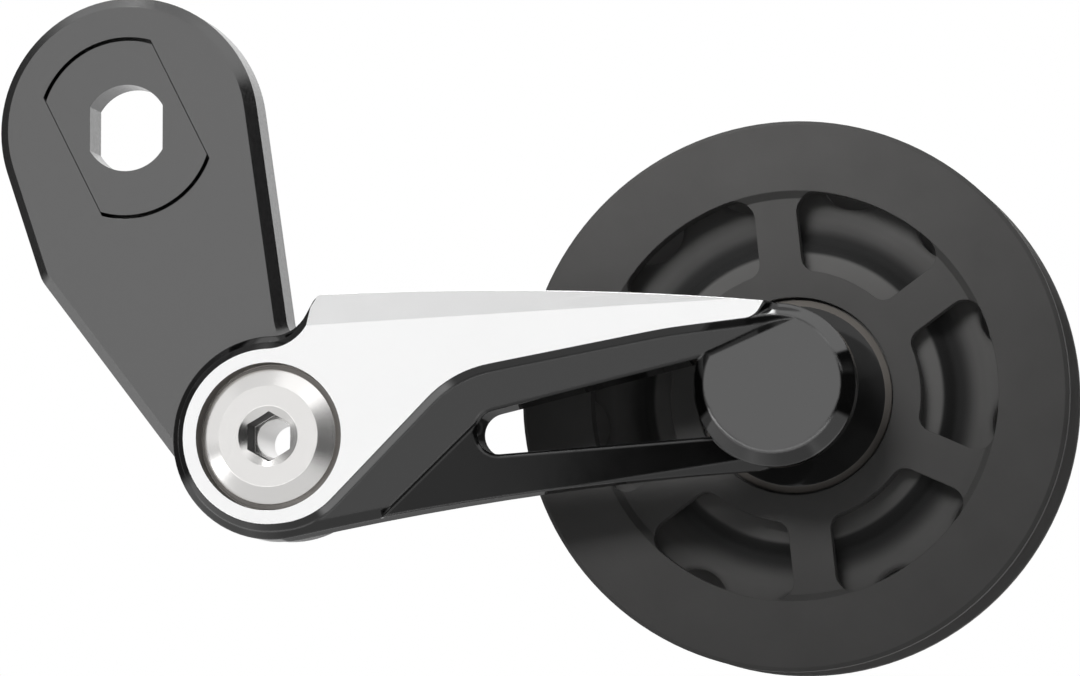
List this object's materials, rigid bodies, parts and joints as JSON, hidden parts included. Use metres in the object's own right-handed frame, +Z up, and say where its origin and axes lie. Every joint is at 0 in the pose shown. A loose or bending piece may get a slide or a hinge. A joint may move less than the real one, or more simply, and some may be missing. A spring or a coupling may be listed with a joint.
{
  "type": "bicycle chain tensioner",
  "caption": "Sprung bicycle chain tensioner: an axle bracket, a slotted swinging arm on a pivot bolt and a flanged toothed pulley that takes up slack in the lower chain run.",
  "frame": {"origin": "centre of the axle hole on the bracket's inner face, where it meets the frame's dropout", "axes": "+Y along the axle towards the wheel, +X forward along the arm, +Z up"},
  "size_m": [0.1242, 0.0296, 0.0789],
  "materials": {
    "bracket_paint": "satin black",
    "insert_paint": "satin black",
    "arm_alloy": "gloss black with a machined bright face",
    "bolt_steel": "bright turned",
    "washer_steel": "dark plated",
    "spring_steel": "plain wire",
    "bush_metal": "sintered bronze",
    "hidden_steel": "plain",
    "cap_dark": "matt black",
    "pulley_resin": "matt moulded"
  },
  "bodies": {
    "bracket": {"bracket_plate": "bracket_paint", "axle_insert": "insert_paint", "pivot_bolt": "bolt_steel", "head_washer": "washer_steel", "stop_pin": "hidden_steel", "torsion_spring": "spring_steel"},
    "arm": {"tension_arm": "arm_alloy", "pivot_bush": "bush_metal", "pulley_bolt": "hidden_steel", "pulley_bush": "bush_metal", "front_dust_cap": "cap_dark", "rear_dust_cap": "cap_dark"},
    "pulley": {"front_flange": "pulley_resin", "toothed_core": "pulley_resin", "rear_flange": "pulley_resin"}
  },
  "joints": [
    {"name": "arm_pivot", "type": "hinge", "parent": "bracket", "child": "arm", "pos_m": [0.0187, -0.0093, -0.0368], "axis": [0, 1, 0], "range_deg": [0, 75], "stiffness_Nm_per_rad": 0.4, "springref_deg": -85.94, "deforming": ["torsion_spring"]},
    {"name": "pulley_spin", "type": "hinge", "parent": "arm", "child": "pulley", "pos_m": [0.077, 0.0089, -0.0317], "axis": [0, 1, 0], "continuous": true}
  ]
}
